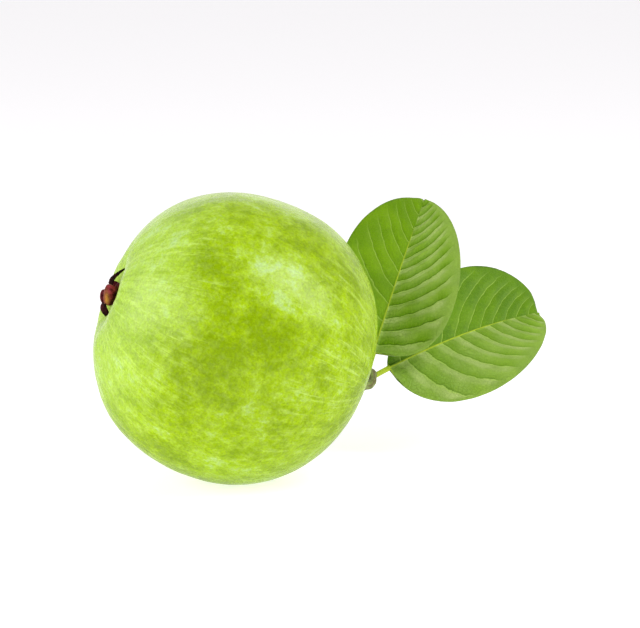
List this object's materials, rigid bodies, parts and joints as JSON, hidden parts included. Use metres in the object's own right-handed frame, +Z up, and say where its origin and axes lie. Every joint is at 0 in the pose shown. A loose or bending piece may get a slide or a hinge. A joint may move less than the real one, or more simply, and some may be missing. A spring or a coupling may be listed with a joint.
{
  "type": "thai guava",
  "caption": "Round green guava lying on a small flat spot, with a dried brown calyx at one end and a stalk bearing leaves at the other.",
  "frame": {"origin": "centre of the small flat spot that the fruit rests on", "axes": "+Z up; -X towards the calyx end, which leans up; +X and +Y towards the stalk and its leaves; the front faces -Y"},
  "size_m": [0.1597, 0.1498, 0.0984],
  "materials": {
    "skin": "satin",
    "calyx": "matte",
    "stalk": "matte",
    "leaf": "satin"
  },
  "bodies": {
    "root": {"fruit": "skin", "calyx": "calyx", "stalk": "stalk", "leaf_upper": "leaf", "leaf_lower": "leaf"}
  },
  "joints": []
}
